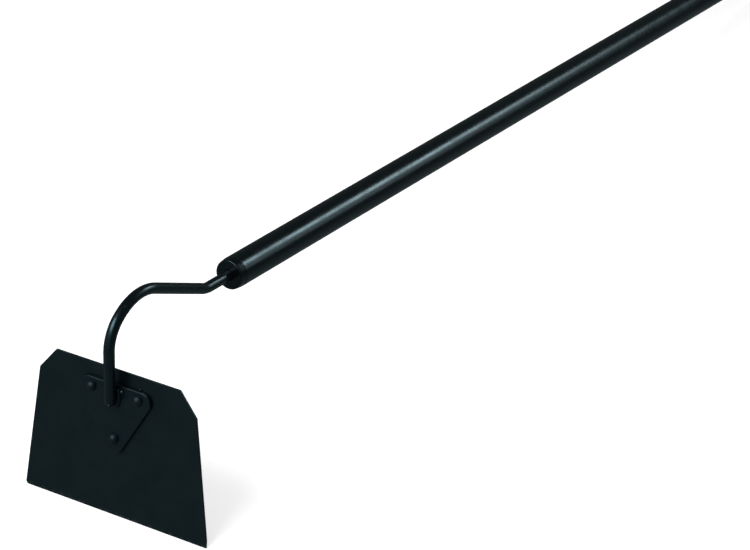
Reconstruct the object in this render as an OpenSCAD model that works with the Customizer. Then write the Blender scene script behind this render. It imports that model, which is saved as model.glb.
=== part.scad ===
// Long-handled draw hoe: a riveted steel blade, a swan-neck rod and a tubular handle.
// Millimetres. X runs across the blade, Y along the handle away from the blade, Z up.
// The hoe lies at rest on a floor at Z = 0, on its cutting edge and on the handle's far end.
// The origin is on the floor, under the middle of the hoe's length and width.

/* [Blade] */
// Width of the cutting edge
blade_w = 200; // [180:1:230]
// Width across the shoulders
shoulder_w = 170; // [150:1:178]
// Width of the top edge
blade_top_w = 134; // [110:1:145]
// Height of the shoulders above the cutting edge
shoulder_h = 120.6; // [110:0.1:126]
// Height of the blade
blade_h = 142.3; // [138:0.1:160]
// Thickness of the blade sheet
blade_t = 2; // [1.5:0.1:3]
// Rounding of the two lower corners
corner_r = 2.5; // [1:0.5:8]
// Height of the bevel ground on the inner face
bevel_h = 7; // [3:0.5:12]
// Thickness left along the cutting edge
edge_t = 0.5; // [0.3:0.1:1]

/* [Bracket plate] */
// Thickness of the plate
plate_t = 3.5; // [2.5:0.1:4]
// Distance from the middle to the centre of each upper corner's rounding
plate_corner_x = 28.5; // [25:0.5:34]
// Height of the centres of the upper corners' roundings
plate_corner_z = 120; // [114:0.5:126]
// Radius of the upper corners
plate_corner_r = 9.5; // [7:0.5:12]
// Height of the centre of the lower corner's rounding
plate_foot_z = 69.6; // [60:0.1:74]
// Radius of the lower corner
plate_foot_r = 8; // [7:0.5:11]

/* [Rivets] */
// Diameter of the shank, and of its holes
rivet_d = 6; // [4:0.5:7]
// Diameter of the round head on the outer face
rivet_head_d = 9.8; // [9:0.5:12]
// Height of the round head
rivet_head_h = 4.5; // [2.5:0.1:4.5]
// Diameter of the closed tail on the inner face
rivet_tail_d = 10; // [8:0.5:12]
// Height of the closed tail
rivet_tail_h = 2.4; // [1.5:0.1:3.5]
// Distance of each upper rivet from the middle
rivet_side_x = 25; // [22:0.5:28]
// Height of the upper rivets
rivet_side_z = 121; // [118:0.5:123]
// Height of the lower rivet
rivet_foot_z = 77; // [74:0.5:82]

/* [Neck] */
// Diameter of the rod
rod_d = 10.2; // [9:0.1:11]
// Distance from the blade's outer face to the rod's axis at its foot
neck_stand = 9.9; // [9.9:0.1:11]
// Height of the rod's foot
neck_foot_z = 112; // [106:0.5:116]
// Lean of the leg away from the blade, in degrees
neck_lean = 2.9; // [0:0.1:4]
// Length of the straight leg
neck_leg = 50.4; // [46:0.1:56]
// Radius of the first bend over the blade
bend_1_r = 36; // [30:1:42]
// Angle of the first bend
bend_1_a = 49; // [46:1:52]
// Radius of the second bend
bend_2_r = 52; // [44:1:60]
// Angle of the second bend
bend_2_a = 63; // [60:1:66]
// Length of the straight slope down to the handle
neck_slope = 76.5; // [60:0.5:100]
// Radius of the bend that lines the rod up with the handle
bend_3_r = 30; // [20:1:50]
// Angle of the third bend
bend_3_a = 21.1; // [18:0.1:24]
// Straight length from the third bend to the handle's mouth
neck_tip = 29.8; // [20:0.2:60]
// Length of the rod inside the handle
tang_len = 150; // [120:5:250]

/* [Welds] */
// Width that each side bead covers on the plate, from the middle
weld_w = 8.8; // [8:0.1:11]
// Distance of the side beads' upper end below the plate's upper edge
weld_top_gap = 2; // [1:0.5:4]
// Radius of the bead that closes the rod's foot
weld_toe_r = 4; // [3:0.1:5]

/* [Handle] */
// Outside diameter of the tube and of the plug's flange
tube_d = 30; // [26:0.5:34]
// Wall thickness of the tube
tube_wall = 1; // [0.8:0.1:1.5]
// Length of the tube
tube_len = 1300; // [900:10:1500]
// Length of the front plug's flange
flange_len = 8; // [5:0.5:15]
// Rounding of the flange's rim
flange_round = 1; // [0.5:0.1:2]
// Length of the front plug inside the tube
plug_len = 50; // [30:1:70]
// Length of the bush on the tang's inner end
bush_len = 20; // [10:1:30]

/* [End cap] */
// Outside diameter of the cap, a little under the tube's
cap_d = 29; // [28.6:0.1:29.6]
// Length of the cap outside the tube
cap_len = 32; // [28:1:45]
// Rounding of the cap's end
cap_round = 6; // [3:0.5:6]
// Thickness of the cap between its two flats
cap_flat_t = 18; // [14:0.5:22]
// Length of the flats
cap_flat_len = 24; // [20:0.5:26]
// Length of the cap inside the tube
cap_spigot_len = 25; // [15:1:40]
// Diameter of the hanging hole
hang_hole_d = 8; // [6:0.5:9]
// Distance of the hanging hole from the cap's end
hang_hole_inset = 13; // [12:0.5:14]

/* [Hidden] */
$fn = 96;
painted = [0.06, 0.07, 0.07];
plastic = [0.09, 0.09, 0.10];
bare_steel = [0.55, 0.56, 0.58];
past = 1; // how far a cutting tool reaches past the face that it cuts
lap = 0.4; // how far each stretch of the rod reaches into the next one
bend_swell = 0.05; // a bend is this much fatter in radius than what laps into it

// The hoe is drawn with its blade upright: outer face at Y = 0, cutting edge at Z = 0.
// A place on the rod is [y, z, heading], heading in degrees up from +Y.
function forward(p, len) = [p[0] + len * cos(p[2]), p[1] + len * sin(p[2]), p[2]];
function down_centre(p, r) = [p[0] + r * sin(p[2]), p[1] - r * cos(p[2])];
function up_centre(p, r) = [p[0] - r * sin(p[2]), p[1] + r * cos(p[2])];
function bend_down(p, r, a) =
    let (c = down_centre(p, r), h = p[2] - a) [c[0] - r * sin(h), c[1] + r * cos(h), h];
function bend_up(p, r, a) =
    let (c = up_centre(p, r), h = p[2] + a) [c[0] + r * sin(h), c[1] - r * cos(h), h];

rod_foot = [-neck_stand, neck_foot_z, 90 + neck_lean];
leg_end = forward(rod_foot, neck_leg);
bend_1_end = bend_down(leg_end, bend_1_r, bend_1_a);
bend_2_end = bend_down(bend_1_end, bend_2_r, bend_2_a);
slope_end = forward(bend_2_end, neck_slope);
bend_3_end = bend_up(slope_end, bend_3_r, bend_3_a);
mouth = forward(bend_3_end, neck_tip);
handle_angle = mouth[2];

tube_r = tube_d / 2;
tube_bore_r = tube_r - tube_wall;
cap_r = cap_d / 2;
tube_start = flange_len;
tube_end = tube_start + tube_len;
handle_end = tube_end + cap_len;

// At rest the lowest points are the cutting edge's inner corner and the cap's rounding.
cap_axis = forward(mouth, handle_end - cap_round);
cap_low = [cap_axis[0] + (cap_r - cap_round) * sin(handle_angle),
           cap_axis[1] - (cap_r - cap_round) * cos(handle_angle)];
cap_high = [cap_axis[0] - (cap_r - cap_round) * sin(handle_angle),
            cap_axis[1] + (cap_r - cap_round) * cos(handle_angle)];
pitch = atan2(cap_low[1], cap_low[0] - edge_t) - asin(cap_round / norm(cap_low - [edge_t, 0]));
rest_lift = edge_t * sin(pitch);
rest_far_y = cap_high[0] * cos(pitch) + cap_high[1] * sin(pitch) + cap_round;

module at_rest() {
    translate([0, -rest_far_y / 2, rest_lift]) rotate([-pitch, 0, 0]) children();
}

// Local +Z runs along the handle from its mouth, local +X stays across the blade.
module on_handle() {
    translate([0, mouth[0], mouth[1]]) rotate([handle_angle - 90, 0, 0]) children();
}

// A flat outline, drawn as X and Z of the upright blade, from its outer face at y.
module sheet(y, t) {
    translate([0, y + t, 0]) rotate([90, 0, 0]) linear_extrude(t) children();
}

module blade_outline() {
    polygon([[-blade_w / 2, corner_r], [-blade_w / 2 + corner_r, 0],
             [blade_w / 2 - corner_r, 0], [blade_w / 2, corner_r],
             [shoulder_w / 2, shoulder_h], [blade_top_w / 2, blade_h],
             [-blade_top_w / 2, blade_h], [-shoulder_w / 2, shoulder_h]]);
    for (side = [-1, 1])
        translate([side * (blade_w / 2 - corner_r), corner_r]) circle(corner_r);
}

module plate_outline() {
    hull() {
        for (side = [-1, 1])
            translate([side * plate_corner_x, plate_corner_z]) circle(plate_corner_r);
        translate([0, plate_foot_z]) circle(plate_foot_r);
    }
}

module rivet_hole(x, z) {
    translate([x, blade_t + past, z]) rotate([90, 0, 0])
        cylinder(d = rivet_d, h = blade_t + plate_t + 2 * past);
}

module rivet_holes() {
    for (side = [-1, 1]) rivet_hole(side * rivet_side_x, rivet_side_z);
    rivet_hole(0, rivet_foot_z);
}

// A round head: a slice of a sphere that is head_d wide and head_h high, standing on Z = 0.
module round_head(head_d, head_h) {
    ball_r = (head_d * head_d / 4 + head_h * head_h) / (2 * head_h);
    intersection() {
        translate([0, 0, head_h - ball_r]) sphere(ball_r);
        cylinder(r = ball_r, h = head_h + past);
    }
}

module rivet(x, z) {
    color(painted) at_rest() translate([x, -plate_t, z]) {
        rotate([90, 0, 0]) round_head(rivet_head_d, rivet_head_h);
        rotate([-90, 0, 0]) cylinder(d = rivet_d, h = plate_t + blade_t);
        translate([0, plate_t + blade_t, 0]) rotate([-90, 0, 0])
            round_head(rivet_tail_d, rivet_tail_h);
    }
}

module rod_straight(p, len) {
    translate([0, p[0], p[1]]) rotate([p[2] - 90, 0, 0]) cylinder(d = rod_d, h = len);
}

// A stretch of the rod round centre, starting at angle start in the plane of the neck.
module rod_bend(centre, r, start, a, swell) {
    translate([0, centre[0], centre[1]]) rotate([90, 0, 90]) rotate([0, 0, start])
        rotate_extrude(angle = a) translate([r, 0]) circle(r = rod_d / 2 + swell);
}

// Neighbouring stretches overlap by lap, and the fatter one holds the other's end inside it.
module rod_shape() {
    bend_1_centre = down_centre(leg_end, bend_1_r);
    bend_2_centre = down_centre(bend_1_end, bend_2_r);
    bend_3_centre = up_centre(slope_end, bend_3_r);
    bend_2_lap_a = lap / bend_2_r * 180 / PI;
    rod_straight(rod_foot, neck_leg + lap);
    rod_bend(bend_1_centre, bend_1_r, bend_1_end[2] + 90, bend_1_a, 2 * bend_swell);
    rod_bend(bend_2_centre, bend_2_r, bend_2_end[2] + 90, bend_2_a + bend_2_lap_a, bend_swell);
    rod_straight(forward(bend_2_end, -lap), neck_slope + 2 * lap);
    rod_bend(bend_3_centre, bend_3_r, slope_end[2] - 90, bend_3_a, bend_swell);
    rod_straight(forward(bend_3_end, -lap), lap + neck_tip + tang_len);
}

// A side bead: a wedge from the plate up to the rod's side, hollowed by the rod.
module side_weld(side) {
    bead_top_z = plate_corner_z + plate_corner_r - weld_top_gap;
    rod_side_x = rod_d / 2;
    color(painted) at_rest() difference() {
        translate([0, 0, neck_foot_z]) mirror([side < 0 ? 1 : 0, 0, 0])
            linear_extrude(bead_top_z - neck_foot_z)
                polygon([[0, -plate_t], [weld_w, -plate_t],
                         [rod_side_x, -neck_stand], [0, -neck_stand]]);
        rod_straight(forward(rod_foot, -past), neck_leg);
    }
}

module blade() {
    color(painted) at_rest() difference() {
        sheet(0, blade_t) blade_outline();
        // bevel along the inner face
        translate([-blade_w / 2 - past, 0, 0]) rotate([90, 0, 90])
            linear_extrude(blade_w + 2 * past)
                polygon([[edge_t, 0], [blade_t, bevel_h],
                         [blade_t + past, bevel_h], [blade_t + past, -past], [edge_t, -past]]);
        rivet_holes();
    }
}

module bracket_plate() {
    color(painted) at_rest() difference() {
        sheet(-plate_t, plate_t) plate_outline();
        rivet_holes();
    }
}

module rivet_left() { rivet(-rivet_side_x, rivet_side_z); }

module rivet_right() { rivet(rivet_side_x, rivet_side_z); }

module rivet_foot() { rivet(0, rivet_foot_z); }

module neck_rod() { color(painted) at_rest() rod_shape(); }

module weld_left() { side_weld(-1); }

module weld_right() { side_weld(1); }

// The bead under the rod's foot, part of a ball between the plate and the rod's end.
module weld_toe() {
    box_side = 2 * weld_toe_r + past;
    color(painted) at_rest() difference() {
        translate([0, -plate_t, neck_foot_z]) sphere(weld_toe_r);
        translate([-box_side / 2, -plate_t, neck_foot_z - box_side / 2])
            cube(box_side);
        translate([0, -neck_stand, neck_foot_z]) rotate([neck_lean, 0, 0])
            translate([-box_side, -box_side, 0]) cube(2 * box_side);
    }
}

module front_plug() {
    color(plastic) at_rest() on_handle() difference() {
        union() {
            rotate_extrude() {
                square([tube_r - flange_round, flange_round]);
                translate([0, flange_round]) square([tube_r, flange_len - flange_round]);
                translate([tube_r - flange_round, flange_round]) circle(flange_round);
            }
            translate([0, 0, flange_len]) cylinder(r = tube_bore_r, h = plug_len);
        }
        translate([0, 0, -past]) cylinder(d = rod_d, h = flange_len + plug_len + 2 * past);
    }
}

module tang_bush() {
    color(bare_steel) at_rest() on_handle() translate([0, 0, tang_len - bush_len])
        difference() {
            cylinder(r = tube_bore_r, h = bush_len);
            translate([0, 0, -past]) cylinder(d = rod_d, h = bush_len + 2 * past);
        }
}

module handle_tube() {
    color(painted) at_rest() on_handle() translate([0, 0, tube_start]) difference() {
        cylinder(r = tube_r, h = tube_len);
        translate([0, 0, -past]) cylinder(r = tube_bore_r, h = tube_len + 2 * past);
    }
}

module cap_flat(side) {
    translate([side > 0 ? cap_flat_t / 2 : -tube_d, -tube_d, handle_end - cap_flat_len])
        cube([tube_d - (side > 0 ? 0 : cap_flat_t / 2), 2 * tube_d, cap_flat_len + past]);
}

module end_cap() {
    color(plastic) at_rest() on_handle() difference() {
        union() {
            translate([0, 0, tube_end - cap_spigot_len])
                cylinder(r = tube_bore_r, h = cap_spigot_len);
            translate([0, 0, tube_end]) rotate_extrude() {
                square([cap_r, cap_len - cap_round]);
                square([cap_r - cap_round, cap_len]);
                translate([cap_r - cap_round, cap_len - cap_round]) circle(cap_round);
            }
        }
        for (side = [-1, 1]) cap_flat(side);
        translate([-tube_d, 0, handle_end - hang_hole_inset]) rotate([0, 90, 0])
            cylinder(d = hang_hole_d, h = 2 * tube_d);
    }
}

blade();
bracket_plate();
rivet_left();
rivet_right();
rivet_foot();
neck_rod();
weld_left();
weld_right();
weld_toe();
front_plug();
tang_bush();
handle_tube();
end_cap();
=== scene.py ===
import math
import random

import bpy
from mathutils import Matrix, Vector, noise


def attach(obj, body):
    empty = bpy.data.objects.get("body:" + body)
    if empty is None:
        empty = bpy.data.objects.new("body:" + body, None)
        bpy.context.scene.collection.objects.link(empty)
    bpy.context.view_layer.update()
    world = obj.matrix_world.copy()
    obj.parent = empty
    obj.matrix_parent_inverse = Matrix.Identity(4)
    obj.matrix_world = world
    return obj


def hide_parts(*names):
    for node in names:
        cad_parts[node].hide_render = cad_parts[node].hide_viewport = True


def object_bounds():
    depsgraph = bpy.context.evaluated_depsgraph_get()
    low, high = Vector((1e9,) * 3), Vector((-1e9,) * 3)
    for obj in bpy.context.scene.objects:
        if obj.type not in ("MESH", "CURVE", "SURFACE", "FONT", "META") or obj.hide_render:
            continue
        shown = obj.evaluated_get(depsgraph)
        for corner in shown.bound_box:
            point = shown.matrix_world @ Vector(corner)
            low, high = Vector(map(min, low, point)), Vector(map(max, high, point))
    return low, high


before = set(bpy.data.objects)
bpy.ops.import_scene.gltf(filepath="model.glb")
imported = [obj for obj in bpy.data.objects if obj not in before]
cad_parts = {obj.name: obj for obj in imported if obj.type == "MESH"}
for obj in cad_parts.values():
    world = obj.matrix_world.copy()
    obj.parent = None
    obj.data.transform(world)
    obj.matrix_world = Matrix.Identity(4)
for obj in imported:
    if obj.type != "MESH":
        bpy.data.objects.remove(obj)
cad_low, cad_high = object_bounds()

# Draw hoe, all in metres. Shapes are drawn on an upright blade, as the CAD part is: outer face
# at y = 0, cutting edge at z = 0, and a matrix then lays them down in the frame.

MM = 0.001
TINY = 1e-9  # lengths under this count as none
PITCH = math.radians(7.9129)  # how far the hoe tips back to lie on its handle's end
LIFT = 0.0688 * MM  # how far that raises the outer face's lower edge
REST = Matrix.Translation((0, cad_low.y, LIFT)) @ Matrix.Rotation(-PITCH, 4, "X")

BLADE_W, SHOULDER_W, BLADE_TOP_W = 200 * MM, 170 * MM, 134 * MM
SHOULDER_H, BLADE_H, BLADE_T = 120.6 * MM, 142.3 * MM, 2 * MM
BEVEL_H, EDGE_T = 7 * MM, 0.5 * MM  # the ground cutting edge: its height, and how thin it gets
BLADE_CORNERS_R = [3 * MM, 1 * MM] + 4 * [1.2 * MM]  # lower left, lower right, then the others
PLATE_T = 3.5 * MM
BLADE_EDGE_R, PLATE_EDGE_R = 0.3 * MM, 0.9 * MM  # rounding of the two sheets' edges
PLATE_CORNER_X, PLATE_CORNER_Z, PLATE_CORNER_R = 28.5 * MM, 120 * MM, 9.5 * MM
PLATE_FOOT_Z, PLATE_FOOT_R = 69.6 * MM, 8 * MM
# rivets: (x, z) of each. Heads are outside and tails inside, and a WALL is a dome's upright rim
RIVETS = {"left": (-25 * MM, 121 * MM), "right": (25 * MM, 121 * MM), "foot": (0, 77 * MM)}
HEAD_R, HEAD_H, HEAD_WALL = 4.9 * MM, 4.5 * MM, 0.8 * MM
TAIL_R, TAIL_H, TAIL_WALL = 5 * MM, 2.4 * MM, 0.35 * MM
SHANK_R = 3 * MM
DENT_DEPTH, DENTS_PER_M = 0.09 * MM, 420  # hammer marks on the rivets
ROD_R = 5.1 * MM
# the rod's lower end: its axis's distance from the blade, its height, its lean in degrees
ROD_STAND, ROD_FOOT_Z, ROD_LEAN = 9.9 * MM, 112 * MM, 2.9
FOOT_ROUND = 3 * MM  # rounding of the rod's lower end
FLATTENED = 0.035  # share of its thickness that the rod loses in the middle of a bend
TANG_LEN = 150 * MM
NECK_MOVES = [  # ("straight", length) or ("bend", radius, degrees), positive bends down
    ("straight", 50.4 * MM), ("bend", 36 * MM, 49), ("bend", 52 * MM, 63),
    ("straight", 76.5 * MM), ("bend", 30 * MM, -21.1), ("straight", 29.8 * MM)]
TUBE_R, TUBE_BORE_R, TUBE_LEN = 15 * MM, 14 * MM, 1300 * MM
TUBE_RIM_R, BORE_BREAK = 0.12 * MM, 0.25 * MM  # rounding of the tube's rims outside and inside
FLANGE_LEN, PLUG_LEN = 8 * MM, 50 * MM
FLANGE_STEP = 0.1 * MM  # how far the plug's flange stays inside the tube's outer face
FLANGE_TAPER = 0.65 * MM  # how much narrower the flange is in front
FLANGE_RIM_R = 1.2 * MM  # rounding of the flange's front rim
SEAM = 0.6 * MM  # groove between the flange and the tube's end
PLUG_GAP, PLUG_MOUTH = 0.05 * MM, 0.5 * MM  # play at rod and tube; bevel where the rod comes out
CAP_EDGE_R, CAP_JOIN = 0.8 * MM, 0.005 * MM  # rounding of the end cap; how near corners join


# ---------------------------------------------------------------- mesh helpers

def make_piece(name, vertices, faces, stands_for=(), matrix=REST, sharp=35):
    """A mesh piece that rides on the hoe's one body, smooth up to sharp degrees."""
    mesh = bpy.data.meshes.new(name)
    mesh.from_pydata([matrix @ Vector(v) for v in vertices], [], faces)
    mesh.validate()
    mesh.shade_smooth()
    mesh.set_sharp_from_angle(angle=math.radians(sharp))
    piece = bpy.data.objects.new(name, mesh)
    bpy.context.scene.collection.objects.link(piece)
    weighted = piece.modifiers.new("even_faces", "WEIGHTED_NORMAL")
    weighted.keep_sharp = True
    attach(piece, "root")
    if stands_for:
        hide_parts(*stands_for)
    return piece


def arc(centre, radius, start, end, steps):
    """Points of an arc, angles in degrees."""
    angles = [math.radians(start + (end - start) * i / steps) for i in range(steps + 1)]
    return [(centre[0] + radius * math.cos(a), centre[1] + radius * math.sin(a)) for a in angles]


def rounded(corners, radii, steps=5):
    """A closed outline whose corners are arcs."""
    outline = []
    for i, corner in enumerate(corners):
        here = Vector(corner)
        back = (Vector(corners[i - 1]) - here).normalized()
        ahead = (Vector(corners[(i + 1) % len(corners)]) - here).normalized()
        half = back.angle(ahead) / 2
        centre = here + (back + ahead).normalized() * radii[i] / math.sin(half)
        first = here + back * radii[i] / math.tan(half) - centre
        last = here + ahead * radii[i] / math.tan(half) - centre
        turn = first.angle_signed(last)
        for k in range(steps + 1):
            outline.append(centre + Matrix.Rotation(-turn * k / steps, 2) @ first)
    return outline


def inset(outline, distance):
    """The outline moved inwards; it runs anticlockwise. Sharp corners move less than in full."""
    moved = []
    for i, point in enumerate(outline):
        before = (point - outline[i - 1]).normalized()
        after = (outline[(i + 1) % len(outline)] - point).normalized()
        inward = Vector((-before.y - after.y, before.x + after.x))
        inward.normalize()
        lean = max(0.5, inward.dot(Vector((-after.y, after.x))))
        moved.append(point + inward * distance / lean)
    return moved


def slab(outline, front, back, edge_r, steps=3):
    """Vertices and faces of a flat sheet from y = front to y = back, with its edges rounded."""
    rings = []
    for k in range(steps + 1):
        a = math.pi / 2 * k / steps
        rings.append((edge_r * (1 - math.sin(a)), front + edge_r * (1 - math.cos(a))))
    rings += [(shrink, back - (y - front)) for shrink, y in reversed(rings)]
    vertices, faces, count = [], [], len(outline)
    for shrink, y in rings:
        vertices += [(p.x, y, p.y) for p in inset(outline, shrink)]
    for ring in range(len(rings) - 1):
        for i in range(count):
            j = (i + 1) % count
            a, b = ring * count, (ring + 1) * count
            faces.append((a + i, b + i, b + j, a + j))
    faces.append(tuple(range(count)))
    faces.append(tuple(reversed(range((len(rings) - 1) * count, len(rings) * count))))
    return vertices, faces


def revolve(profile, segments=96):
    """Turns (radius, height) points round z. A closed profile makes a ring-shaped solid."""
    vertices, rows = [], []
    for radius, height in profile:
        if radius < TINY:
            rows.append([len(vertices)] * segments)
            vertices.append((0, 0, height))
        else:
            rows.append(list(range(len(vertices), len(vertices) + segments)))
            for i in range(segments):
                a = 2 * math.pi * i / segments
                vertices.append((radius * math.cos(a), radius * math.sin(a), height))
    faces = []
    closed = profile[0][0] > TINY
    for k in range(len(rows) if closed else len(rows) - 1):
        low, high = rows[k], rows[(k + 1) % len(rows)]
        for i in range(segments):
            j = (i + 1) % segments
            face = []
            for v in (low[i], low[j], high[j], high[i]):
                if v not in face:
                    face.append(v)
            faces.append(tuple(face))
    return vertices, faces


def skin(ring_count, sides):
    """Faces over a row of rings of vertices, with both ends closed."""
    faces = []
    for k in range(ring_count - 1):
        for i in range(sides):
            j = (i + 1) % sides
            faces.append((k * sides + i, k * sides + j, (k + 1) * sides + j, (k + 1) * sides + i))
    last = (ring_count - 1) * sides
    faces.append(tuple(reversed(range(sides))))
    faces.append(tuple(range(last, last + sides)))
    return faces


def sweep(rings, sides=48):
    """A round bar through rings of (centre, heading in the y-z plane, radius, flatness)."""
    vertices = []
    for centre, heading, radius, flat in rings:
        across = Vector((0, -math.sin(heading), math.cos(heading)))
        for i in range(sides):
            a = 2 * math.pi * i / sides
            vertices.append(centre + Vector((radius * math.cos(a), 0, 0))
                            + across * radius * flat * math.sin(a))
    return vertices, skin(len(rings), sides)


WALK_STEP, WALK_TURN = 4 * MM, 1.5  # about one step along a straight, and in degrees in a bend


def walk(start, moves):
    """Follows straights and bends in the y-z plane: a list of (y, z, heading, bend share). The
    last is 0 on a straight and rises to 1 in the middle of a bend."""
    y, z, heading = start
    path = [(y, z, heading, 0.0)]
    for kind, *size in moves:
        if kind == "straight":
            steps = max(1, round(size[0] / WALK_STEP))
            for _ in range(steps):
                y += size[0] / steps * math.cos(heading)
                z += size[0] / steps * math.sin(heading)
                path.append((y, z, heading, 0.0))
        else:
            radius, turn = size[0], -math.radians(size[1])
            steps = max(4, math.ceil(abs(size[1]) / WALK_TURN))
            chord = 2 * radius * math.sin(abs(turn) / steps / 2)
            for k in range(steps):
                heading += turn / steps / 2
                y, z = y + chord * math.cos(heading), z + chord * math.sin(heading)
                heading += turn / steps / 2
                path.append((y, z, heading, math.sin(math.pi * (k + 1) / steps)))
    return path


# ---------------------------------------------------------------- materials

def feed(tree, socket, value):
    """Gives a socket its value: a link from another socket, a number, or a colour."""
    if isinstance(value, bpy.types.NodeSocket):
        tree.links.new(value, socket)
    elif socket.type == "RGBA":
        socket.default_value = (*value[:3], 1)
    else:
        socket.default_value = value


def add_node(tree, kind, settings=None, **inputs):
    """A shader node; inputs are named as on the node, with _ for a space."""
    made = tree.nodes.new("ShaderNode" + kind)
    for key, value in (settings or {}).items():
        setattr(made, key, value)
    for key, value in inputs.items():
        feed(tree, made.inputs[key.replace("_", " ")], value)
    return made


def compute(tree, operation, *terms):
    """The result of a Math node over sockets or numbers."""
    made = add_node(tree, "Math", {"operation": operation})
    for socket, term in zip(made.inputs, terms):
        feed(tree, socket, term)
    return made.outputs[0]


def fade(tree, value, start, end, low=0.0, high=1.0):
    """Goes smoothly from low to high as value goes from start to end, and stays level past both.
    The end can lie under the start."""
    made = add_node(tree, "MapRange", {"interpolation_type": "SMOOTHSTEP"}, Value=value,
                    From_Min=start, From_Max=end, To_Min=low, To_Max=high)
    return made.outputs["Result"]


# noise patches: how many per metre, and the noise over which they fade in
TONE_PATCHES = (45, 0.35, 0.65)
GLOSS_PATCHES = (60, 0.30, 0.70)
DUST_SPECKS = (900, 0.66, 0.72)
DUSTY_PATCHES = (30, 0.45, 0.70)
RUBBED_PATCHES = (260, 0.50, 0.62)
STEEL_TONES = (120, 0.30, 0.70)
STEEL_GLOSS = (200, 0.30, 0.70)


def patches(tree, where, kind, to_low=0, to_high=1, detail=3.0):
    """Soft noise patches, from to_low where the noise is low to to_high where it is high."""
    scale, low, high = kind
    field = add_node(tree, "TexNoise", Vector=where, Scale=scale, Detail=detail, Roughness=0.55)
    return fade(tree, field.outputs["Fac"], low, high, to_low, to_high)


def blend_colours(tree, share, one, other):
    """From colour one at share 0 to the other at share 1."""
    mix = tree.nodes.new("ShaderNodeMix")
    mix.data_type = "RGBA"
    # a mix node has a set of sockets for each type of data: 6 and 7 take colours, 2 gives one
    for index, value in ((0, share), (6, one), (7, other)):
        feed(tree, mix.inputs[index], value)
    return mix.outputs[2]


def new_material(name):
    """A plain material, its node tree and its shader."""
    material = bpy.data.materials.new(name)
    material.use_nodes = True
    return material, material.node_tree, material.node_tree.nodes["Principled BSDF"]


DUST_COLOUR, RUBBED_COLOUR = (0.10, 0.12, 0.12), (0.018, 0.020, 0.021)
LEAST_DUST = 0.15  # share of the dust that clean places have
RUBBED_ROUGHNESS = 0.18  # how much rougher rubbed paint is


def finish_material(name, tones, gloss, peel, grain, dust, tint, edge_wear=None):
    """Black finish. tones: its two shades; gloss: its range of roughness; peel and grain:
    (features per metre, height in metres) of the slow and fine unevenness; dust: share of
    pale dust; tint: colour of the shine; edge_wear: height in metres of the rubbed band over
    the floor."""
    material, tree, shader = new_material(name)
    place = add_node(tree, "TexCoord").outputs["Object"]

    colour = blend_colours(tree, patches(tree, place, TONE_PATCHES), *tones)
    specks = patches(tree, place, DUST_SPECKS, detail=2.0)
    where_dusty = patches(tree, place, DUSTY_PATCHES, LEAST_DUST * dust, dust)
    dusted = compute(tree, "MULTIPLY", specks, where_dusty)
    colour = blend_colours(tree, dusted, colour, DUST_COLOUR)
    rough = patches(tree, place, GLOSS_PATCHES, *gloss)
    if edge_wear:
        height = add_node(tree, "SeparateXYZ", Vector=place).outputs["Z"]
        near = fade(tree, height, edge_wear, 0.0)
        rubbed = patches(tree, place, RUBBED_PATCHES, detail=6.0)
        worn = compute(tree, "MULTIPLY", near, rubbed)
        colour = blend_colours(tree, worn, colour, RUBBED_COLOUR)
        rough = compute(tree, "MULTIPLY_ADD", worn, RUBBED_ROUGHNESS, rough)
    tree.links.new(colour, shader.inputs["Base Color"])
    tree.links.new(rough, shader.inputs["Roughness"])

    slow = add_node(tree, "TexNoise", Vector=place, Scale=peel[0], Detail=2.0, Roughness=0.5)
    fine = add_node(tree, "TexNoise", Vector=place, Scale=grain[0], Detail=2.0, Roughness=0.6)
    low_bump = add_node(tree, "Bump", Height=slow.outputs["Fac"], Distance=peel[1])
    bump = add_node(tree, "Bump", Height=fine.outputs["Fac"], Distance=grain[1],
                    Normal=low_bump.outputs["Normal"])
    tree.links.new(bump.outputs["Normal"], shader.inputs["Normal"])
    shader.inputs["IOR"].default_value = 1.5
    feed(tree, shader.inputs["Specular Tint"], tint)
    return material


COOL = (0.47, 0.86, 1.0)  # the shine of the paints
PLASTIC_COOL = (0.55, 0.86, 1.0)
enamel = finish_material(
    "gloss_enamel", [(0.0014, 0.0025, 0.0032), (0.0022, 0.0034, 0.0041)], gloss=(0.29, 0.34),
    peel=(160, 0.012 * MM), grain=(1400, 0.0012 * MM), dust=0.10, tint=COOL,
    edge_wear=5 * MM)
rivet_enamel = finish_material(
    "rivet_enamel", [(0.0010, 0.0017, 0.0022), (0.0018, 0.0026, 0.0032)], gloss=(0.48, 0.54),
    peel=(400, 0.04 * MM), grain=(1400, 0.002 * MM), dust=0.08, tint=COOL)
rod_enamel = finish_material(
    "rod_enamel", [(0.0014, 0.0025, 0.0032), (0.0022, 0.0033, 0.0040)], gloss=(0.24, 0.29),
    peel=(180, 0.020 * MM), grain=(1400, 0.002 * MM), dust=0.08, tint=COOL)
weld_enamel = finish_material(
    "weld_enamel", [(0.0008, 0.0013, 0.0018), (0.0014, 0.0020, 0.0025)], gloss=(0.36, 0.46),
    peel=(500, 0.06 * MM), grain=(1400, 0.006 * MM), dust=0.08, tint=COOL)
# the sheared edges: rougher than the faces, with darker tones that paint the shade of the edge
# walls
cut_edge_painted_shade = finish_material(
    "cut_edge_painted_shade_enamel", [(0.0008, 0.0014, 0.0018), (0.0016, 0.0022, 0.0026)], gloss=(0.34, 0.44),
    peel=(300, 0.03 * MM), grain=(1800, 0.006 * MM), dust=0.10, tint=COOL)
powder_coat = finish_material(
    "powder_coat", [(0.0007, 0.0012, 0.0015), (0.0012, 0.0018, 0.0021)], gloss=(0.25, 0.31),
    peel=(220, 0.008 * MM), grain=(2200, 0.003 * MM), dust=0.06, tint=COOL)
moulded = finish_material(
    "moulded_plastic", [(0.0006, 0.0009, 0.0012), (0.0012, 0.0015, 0.0018)], gloss=(0.20, 0.26),
    peel=(260, 0.010 * MM), grain=(3000, 0.004 * MM), dust=0.06, tint=PLASTIC_COOL)


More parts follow.
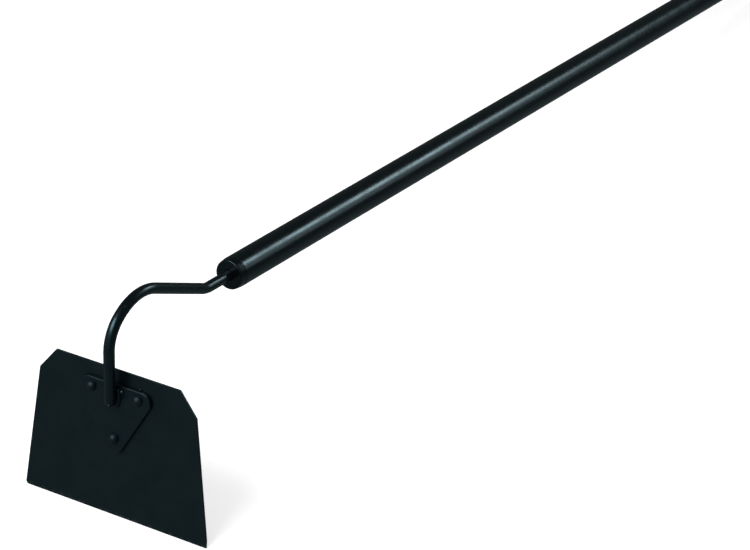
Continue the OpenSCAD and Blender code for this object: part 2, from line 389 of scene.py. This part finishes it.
STEEL_DARK, STEEL_PALE = (0.42, 0.43, 0.45), (0.55, 0.56, 0.58)
TURNING_MARKS = 40  # how much finer the marks are along the handle than round it


def turned_steel():
    """Bare steel with the fine rings that a lathe leaves."""
    material, tree, shader = new_material("turned_steel")
    place = add_node(tree, "TexCoord").outputs["Object"]
    rings = add_node(tree, "Mapping", Vector=place, Scale=(1, TURNING_MARKS, 1)).outputs["Vector"]
    colour = blend_colours(tree, patches(tree, rings, STEEL_TONES), STEEL_DARK, STEEL_PALE)
    tree.links.new(colour, shader.inputs["Base Color"])
    tree.links.new(patches(tree, rings, STEEL_GLOSS, 0.28, 0.42), shader.inputs["Roughness"])
    shader.inputs["Metallic"].default_value = 1.0
    return material


# ---------------------------------------------------------------- blade and plate

def with_level(points, level):
    """The outline with a vertex where it crosses this height."""
    longer = []
    for i, point in enumerate(points):
        after = points[(i + 1) % len(points)]
        longer.append(point)
        if (point.y - level) * (after.y - level) < 0:
            longer.append(point.lerp(after, (level - point.y) / (after.y - point.y)))
    return longer


blade_outline = rounded(
    [(-BLADE_W / 2, 0), (BLADE_W / 2, 0), (SHOULDER_W / 2, SHOULDER_H),
     (BLADE_TOP_W / 2, BLADE_H), (-BLADE_TOP_W / 2, BLADE_H), (-SHOULDER_W / 2, SHOULDER_H)],
    BLADE_CORNERS_R)
vertices, faces = slab(with_level(blade_outline, BEVEL_H), 0, BLADE_T, BLADE_EDGE_R)
thinned = []
for x, y, z in vertices:
    share = min(1, max(0, z / BEVEL_H))  # 0 at the cutting edge, 1 from the bevel's top up
    thinned.append((x, y * (EDGE_T + (BLADE_T - EDGE_T) * share) / BLADE_T, z))
blade = make_piece("blade_sheet", thinned, faces, ["blade"])

# outline of the bracket plate: arcs at the two upper corners and the foot, joined by tangents
side = Vector((PLATE_CORNER_X, PLATE_CORNER_Z - PLATE_FOOT_Z))
tangent = math.degrees(math.atan2(side.y, side.x)
                       - math.acos((PLATE_FOOT_R - PLATE_CORNER_R) / side.length))
plate_points = (arc((PLATE_CORNER_X, PLATE_CORNER_Z), PLATE_CORNER_R, tangent, 90, steps=14)
                + arc((-PLATE_CORNER_X, PLATE_CORNER_Z), PLATE_CORNER_R, 90, 180 - tangent,
                      steps=14)
                + arc((0, PLATE_FOOT_Z), PLATE_FOOT_R, 180 - tangent, 360 + tangent, steps=14))
plate_outline = [Vector(point) for point in plate_points]
vertices, faces = slab(plate_outline, -PLATE_T, 0, PLATE_EDGE_R, steps=6)
plate = make_piece("bracket_plate_sheet", vertices, faces, ["bracket_plate"])


FACE_SHARE = 0.3  # a face whose normal points less than this share along y is part of the edge


def paint_sheet(piece, face_finish, edge_finish):
    """Two finishes: the rolled faces, and the sheared edge that runs round them, whose darker
    tones are painted shade.
    """
    piece.data.materials.append(face_finish)
    piece.data.materials.append(edge_finish)
    out = (REST.to_3x3() @ Vector((0, 1, 0))).normalized()
    for polygon in piece.data.polygons:
        polygon.material_index = 0 if abs(polygon.normal.dot(out)) > FACE_SHARE else 1


paint_sheet(blade, enamel, cut_edge_painted_shade)
paint_sheet(plate, enamel, cut_edge_painted_shade)


# ---------------------------------------------------------------- rivets

def dome(radius, height, steps=12):
    """A round head's profile, from its rim to its top."""
    ball_r = (radius * radius + height * height) / (2 * height)
    edge = math.degrees(math.asin((ball_r - height) / ball_r))
    return arc((0, height - ball_r), ball_r, edge, 90, steps)


def rivet(name, x, z):
    """A rivet through plate and blade, its head and tail a little uneven from the hammer."""
    grip = PLATE_T + BLADE_T
    head = [(r, h + PLATE_T + HEAD_WALL) for r, h in dome(HEAD_R, HEAD_H - HEAD_WALL)]
    tail = [(r, PLATE_T - grip - TAIL_WALL - h) for r, h in dome(TAIL_R, TAIL_H - TAIL_WALL)]
    head[-1], tail[-1] = (0, head[-1][1]), (0, tail[-1][1])
    profile = (list(reversed(tail)) + [(TAIL_R, PLATE_T - grip), (SHANK_R, PLATE_T - grip),
                                       (SHANK_R, PLATE_T), (HEAD_R, PLATE_T)] + head)
    vertices, faces = revolve(profile, segments=64)
    hammered = []
    for v in vertices:
        v = Vector(v)
        out = Vector((v.x, v.y, 0))
        dent = noise.noise((v + Vector((x, z, 0))) * DENTS_PER_M) * DENT_DEPTH
        if out.length > SHANK_R:
            v += out.normalized() * dent
        hammered.append(v)
    place = REST @ Matrix.Translation((x, 0, z)) @ Matrix.Rotation(math.pi / 2, 4, "X")
    piece = make_piece("rivet_" + name + "_set", hammered, faces,
                       ["rivet_" + name], place, sharp=50)
    piece.data.materials.append(rivet_enamel)


for side_name, (x, z) in RIVETS.items():
    rivet(side_name, x, z)


# ---------------------------------------------------------------- neck rod

start = (-ROD_STAND, ROD_FOOT_Z, math.radians(90 + ROD_LEAN))
neck = walk(start, NECK_MOVES)
mouth_y, mouth_z, handle_heading, _ = neck[-1]
rod_path = walk(start, NECK_MOVES + [("straight", TANG_LEN)])
rings = []
for y, z, heading, bent in rod_path:
    rings.append((Vector((0, y, z)), heading, ROD_R, 1 - FLATTENED * bent))
foot, heading = rings[0][:2]
along = Vector((0, math.cos(heading), math.sin(heading)))
rings[0] = (foot + along * FOOT_ROUND, heading, ROD_R, 1)
for r, h in arc((ROD_R - FOOT_ROUND, FOOT_ROUND), FOOT_ROUND, 0, -90, steps=6)[1:]:
    rings.insert(0, (foot + along * h, heading, r, 1))
vertices, faces = sweep(rings)
rod = make_piece("neck_rod_bar", vertices, faces, ["neck_rod"], sharp=50)
rod.data.materials.append(rod_enamel)


# ---------------------------------------------------------------- welds

RIPPLE_PITCH, RIPPLE_DEPTH = 1.5 * MM, 0.05  # length of a ripple, and its share of the radius
RIPPLE_CURVE = 0.6 * MM  # how far a ripple's sides stay behind its middle
LUMPS_PER_M, LUMPINESS = 500, 0.07  # lumps of a bead, and their share of its radius
BEAD_STEP, BEAD_SIDES = 0.18 * MM, 20  # distance of a bead's rings, and their number of points
END_OPEN = 0.02  # keeps a bead's round ends from closing to a point


def bead(name, points, radius, stands_for, seed):
    """A weld bead along points of (x, y, z), each low ripple a puddle that froze."""
    random.seed(seed)
    length, path = 0.0, []
    for i, point in enumerate(points):
        if i:
            length += (Vector(point) - Vector(points[i - 1])).length
        path.append((length, Vector(point)))
    steps = int(length / BEAD_STEP)
    phase = random.uniform(0, 1)
    vertices = []
    for k in range(steps + 1):
        s = length * k / steps
        j = next(i for i in range(1, len(path)) if path[i][0] >= s - TINY)
        share = (s - path[j - 1][0]) / max(TINY, path[j][0] - path[j - 1][0])
        centre = path[j - 1][1].lerp(path[j][1], share)
        ahead = (path[j][1] - path[j - 1][1]).normalized()
        across = ahead.cross(Vector((0, 1, 0))).normalized()
        up = across.cross(ahead).normalized()
        to_end = min(s, length - s) / radius
        taper = math.sqrt(max(0.0, 1 - (1 - min(1.0, to_end + END_OPEN)) ** 2))
        for i in range(BEAD_SIDES):
            a = 2 * math.pi * i / BEAD_SIDES
            # ripples curve back at the bead's sides, and each one is steep on one side
            where = (s - RIPPLE_CURVE * math.cos(a) ** 2) / RIPPLE_PITCH + phase
            ripple = 1 - RIPPLE_DEPTH * (where % 1.0) ** 2
            lump = 1 + LUMPINESS * noise.noise(centre * LUMPS_PER_M + Vector((seed, a, 0)))
            r = radius * taper * ripple * lump
            vertices.append(centre + across * r * math.cos(a) + up * r * math.sin(a))
    faces = skin(steps + 1, BEAD_SIDES)
    piece = make_piece(name, vertices, faces, stands_for, sharp=60)
    piece.data.materials.append(weld_enamel)


WELD_LOW_Z, WELD_TOP_Z = 111 * MM, 127 * MM
SIDE_BEAD_R, SIDE_BEAD_STEPS = 2.1 * MM, 8
SIDE_BEAD_X = ROD_R - 0.5 * MM
SIDE_BEAD_OUT, SIDE_BEAD_LEAN = 0.2 * MM, 0.025  # off the plate, and further out upwards
TOE_BEAD_R, TOE_BEAD_OUT = 1.9 * MM, 0.9 * MM
TOE_ARC_R, TOE_ARC_RISE = 4.6 * MM, 1.5 * MM  # its radius, and its centre over the rod's foot

for sign, word in ((-1, "left"), (1, "right")):
    run = []
    for k in range(SIDE_BEAD_STEPS + 1):
        z = WELD_LOW_Z + (WELD_TOP_Z - WELD_LOW_Z) * k / SIDE_BEAD_STEPS
        out = SIDE_BEAD_OUT + SIDE_BEAD_LEAN * (z - ROD_FOOT_Z)
        run.append((sign * SIDE_BEAD_X, -PLATE_T - out, z))
    bead("weld_bead_" + word, run, SIDE_BEAD_R, ["weld_" + word], 3 + sign)
toe = [(x, -PLATE_T - TOE_BEAD_OUT, z)
       for x, z in arc((0, ROD_FOOT_Z + TOE_ARC_RISE), TOE_ARC_R, 188, 352, steps=24)]
bead("weld_bead_toe", toe, TOE_BEAD_R, ["weld_toe"], 11)

DROP_ROOT = 0.4 * MM  # how deep a drop reaches into what it stands on
DROP_LUMPS_PER_M, DROP_LUMPINESS = 600, 0.12
# drops of weld spatter and paint: name, where it stands in mm, the way it points, and its
# radius and height in mm
DROPS = [
    ("weld_nugget", (8.0, -3.8, 124.4), (0.1, -1, 0.25), 2.2, 2.0),
    ("spatter_blade", (25.1, 0, 130.4), (0, -1, 0.3), 1.5, 1.3),
    ("spatter_leg", (0.3, -17.5, 164.8), (-0.2, -1, 0.1), 0.8, 0.5),
    ("spatter_arch", (2.9, 5.3, 201.0), (0.5, -0.5, 0.7), 0.8, 0.5),
    ("drip_foot", (2.4, -14.0, 113.6), (0.3, -0.9, 0.35), 1.7, 1.7)]


def drop(name, place, out, radius, height, seed):
    """A lumpy dome that stands at place and points out."""
    profile = [(radius * math.cos(a), height * math.sin(a))
               for a in (math.pi / 2 * k / 8 for k in range(8))] + [(0, height)]
    vertices, faces = revolve([(0, -DROP_ROOT), (radius, -DROP_ROOT)] + profile, segments=24)
    lumpy = []
    for v in vertices:
        v = Vector(v)
        lump = noise.noise(v * DROP_LUMPS_PER_M + Vector((seed, 0, 0)))
        lumpy.append(v * (1 + DROP_LUMPINESS * lump))
    stand = Vector(out).to_track_quat("Z", "Y").to_matrix().to_4x4()
    piece = make_piece(name, lumpy, faces,
                       matrix=REST @ Matrix.Translation(place) @ stand, sharp=80)
    piece.data.materials.append(rod_enamel)


for seed, (name, place, out, radius, height) in enumerate(DROPS, start=1):
    drop(name, [size * MM for size in place], out, radius * MM, height * MM, seed)


# ---------------------------------------------------------------- handle

HANDLE = (REST @ Matrix.Translation((0, mouth_y, mouth_z))
          @ Matrix.Rotation(handle_heading - math.pi / 2, 4, "X"))


def ring_solid(outer, bore, low, high, rim_r, steps=5):
    """Closed profile of a tube with its two outer rims rounded and its bore's edges broken."""
    break_r = min(BORE_BREAK, (outer - bore) / 3)
    profile = [(bore, low + break_r), (bore + break_r, low)]
    profile += arc((outer - rim_r, low + rim_r), rim_r, -90, 0, steps)
    profile += arc((outer - rim_r, high - rim_r), rim_r, 0, 90, steps)
    profile += [(bore + break_r, high), (bore, high - break_r)]
    return profile


profile = ring_solid(TUBE_R, TUBE_BORE_R, FLANGE_LEN, FLANGE_LEN + TUBE_LEN, TUBE_RIM_R)
vertices, faces = revolve(profile, segments=128)
tube = make_piece("handle_tube_wall", vertices, faces, ["handle_tube"], HANDLE)
tube.data.materials.append(powder_coat)

flange_r, spigot_r, plug_bore_r = TUBE_R - FLANGE_STEP, TUBE_BORE_R - PLUG_GAP, ROD_R + PLUG_GAP
front_centre = (flange_r - FLANGE_TAPER - FLANGE_RIM_R, FLANGE_RIM_R)
plug_profile = (
    [(plug_bore_r, PLUG_MOUTH), (ROD_R + PLUG_MOUTH, 0)]
    + arc(front_centre, FLANGE_RIM_R, -90, -8, steps=8)
    + arc((flange_r - SEAM, FLANGE_LEN - SEAM), SEAM, 0, 90, steps=3)
    + [(spigot_r, FLANGE_LEN), (spigot_r, FLANGE_LEN + PLUG_LEN),
       (plug_bore_r, FLANGE_LEN + PLUG_LEN)])
vertices, faces = revolve(plug_profile, segments=128)
plug = make_piece("front_plug_body", vertices, faces, ["front_plug"], HANDLE)
plug.data.materials.append(moulded)

# the two CAD pieces that stay, in new materials
for node, finish, soften in (("end_cap", moulded, CAP_EDGE_R), ("tang_bush", turned_steel(), 0)):
    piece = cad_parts[node]
    piece.data.materials.clear()
    piece.data.materials.append(finish)
    if soften:
        weld = piece.modifiers.new("join_corners", "WELD")
        weld.merge_threshold = CAP_JOIN
        bevel = piece.modifiers.new("soft_edges", "BEVEL")
        bevel.width, bevel.segments = soften, 3
        bevel.limit_method, bevel.angle_limit = "ANGLE", math.radians(35)
        bevel.harden_normals = True


# ---------------------------------------------------------------- stage, light and camera

FLOOR_HALF, FLOOR_GREY = 40, 0.82  # half the floor's side, and the share of light it sends back
FLOOR_GLOW = 0.56  # keeps the pale floor bright where the softboxes don't reach
ROOM_COLOUR = (0.80, 0.97, 1.0)
FRONT_LEFT = (-0.42, -0.91, 0)  # where the dim room is palest
FRONT_LEFT_FADE = (0.15, 0.95)  # cosines of the angle from there, from dark to palest
ROOM_LIGHT, FLOOR_LIGHT = 0.075, 0.15  # brightness of the rest of the room, and of its floor
FLOOR_FADE = (-0.5, -0.15)  # heights on the unit sphere between the room's floor and its rest
PALE_LOW, PALE_HIGH = 0.05, 0.265  # what the front left adds, near the floor and above
PALE_FADE = (-0.35, 0.2)  # heights on the unit sphere between those two
MATT_WHITE, SEEN_WHITE = 0.45, 1.05  # brightness for matt surfaces, and of the background


def stage_floor():
    """A pale sheet of paper under the hoe."""
    half = FLOOR_HALF
    mesh = bpy.data.meshes.new("floor")
    mesh.from_pydata([(-half, -half, 0), (half, -half, 0), (half, half, 0), (-half, half, 0)],
                     [], [(0, 1, 2, 3)])
    floor = bpy.data.objects.new("floor", mesh)
    bpy.context.scene.collection.objects.link(floor)
    paper, _, shader = new_material("pale_paper")
    shader.inputs["Base Color"].default_value = (FLOOR_GREY, FLOOR_GREY, FLOOR_GREY, 1)
    shader.inputs["Roughness"].default_value = 0.9
    shader.inputs["Specular IOR Level"].default_value = 0.0
    shader.inputs["Emission Color"].default_value = (1, 1, 1, 1)
    shader.inputs["Emission Strength"].default_value = FLOOR_GLOW
    mesh.materials.append(paper)
    floor.visible_glossy = False  # shiny paint sees the studio's soft gradient instead


def softbox(name, target, direction, distance, width, height, radiance, along=None):
    """A rectangular light that looks at target from a direction. Its width lies level, or else
    along the way given."""
    light = bpy.data.lights.new(name, "AREA")
    light.shape, light.size, light.size_y = "RECTANGLE", width, height
    light.energy = radiance * math.pi * width * height
    lamp = bpy.data.objects.new(name, light)
    bpy.context.scene.collection.objects.link(lamp)
    away = Vector(direction).normalized()
    side_way = Vector(along) if along else Vector((0, 0, 1)).cross(away)
    side_way = (side_way - away * side_way.dot(away)).normalized()
    up = away.cross(side_way)
    lamp.matrix_world = Matrix.Translation(Vector(target) + away * distance) @ Matrix(
        (side_way, up, away)).transposed().to_4x4()


def studio_world():
    """Even white light for matt surfaces; shiny ones see a dim room, paler at the front left."""
    world = bpy.data.worlds.new("studio")
    bpy.context.scene.world = world
    world.use_nodes = True
    tree = world.node_tree
    tree.nodes.clear()
    way = add_node(tree, "TexCoord").outputs["Generated"]
    axes = add_node(tree, "SeparateXYZ", Vector=way)
    facing = add_node(tree, "VectorMath", {"operation": "DOT_PRODUCT"})
    tree.links.new(way, facing.inputs[0])
    facing.inputs[1].default_value = FRONT_LEFT

    def mix_shaders(share, one, other):
        mix = tree.nodes.new("ShaderNodeMixShader")
        for socket, value in zip(mix.inputs, (share, one.outputs[0], other.outputs[0])):
            tree.links.new(value, socket)
        return mix

    sideways = fade(tree, facing.outputs["Value"], *FRONT_LEFT_FADE)
    upward = fade(tree, axes.outputs["Z"], *PALE_FADE, PALE_LOW, PALE_HIGH)
    below = fade(tree, axes.outputs["Z"], *FLOOR_FADE, FLOOR_LIGHT, ROOM_LIGHT)
    dim = compute(tree, "MULTIPLY_ADD", sideways, upward, below)
    room = add_node(tree, "Background", Color=ROOM_COLOUR, Strength=dim)
    white = add_node(tree, "Background", Strength=MATT_WHITE)
    seen = add_node(tree, "Background", Strength=SEEN_WHITE)
    paths = add_node(tree, "LightPath")
    lit = mix_shaders(paths.outputs["Is Glossy Ray"], white, room)
    whole = mix_shaders(paths.outputs["Is Camera Ray"], lit, seen)
    out = tree.nodes.new("ShaderNodeOutputWorld")
    tree.links.new(whole.outputs[0], out.inputs["Surface"])


stage_floor()
studio_world()
NECK_PLACE = (0, -0.45, 0.14)  # where the softboxes look
ACROSS = (-0.865, 0.05, 0.5)  # the way along which a light makes the tube's highlight broader
softbox("back", NECK_PLACE, (0.368, 0.82, 0.438), distance=3.0, width=0.68, height=0.75,
        radiance=9.8, along=ACROSS)
softbox("back_tail", NECK_PLACE, (0.58, 0.77, 0.24), distance=3.1, width=1.0, height=1.0,
        radiance=1.3, along=ACROSS)
softbox("front", NECK_PLACE, (-0.18, -0.68, 0.71), distance=2.4, width=1.7, height=1.0,
        radiance=7.6)

# the camera: the way it looks, the point in the middle of its picture, and how far that is
AZIMUTH, ELEVATION, ROLL = map(math.radians, (33.583, 30.015, -1.526))
AIM, AIM_DISTANCE = Vector((0.25623, -0.72012, 0.30050)), 2.4
LENS_MM, SENSOR_MM = 143.56, 36
toward = Vector((-math.sin(AZIMUTH) * math.cos(ELEVATION), math.cos(AZIMUTH) * math.cos(ELEVATION),
                 -math.sin(ELEVATION)))
lens = bpy.data.cameras.new("camera")
lens.lens, lens.sensor_width = LENS_MM, SENSOR_MM
lens.clip_start, lens.clip_end = 0.05, 200
camera = bpy.data.objects.new("camera", lens)
bpy.context.scene.collection.objects.link(camera)
camera.matrix_world = (Matrix.Translation(AIM - toward * AIM_DISTANCE)
                       @ toward.to_track_quat("-Z", "Y").to_matrix().to_4x4()
                       @ Matrix.Rotation(ROLL, 4, "Z"))
bpy.context.scene.camera = camera
bpy.context.scene.view_settings.view_transform = "Standard"
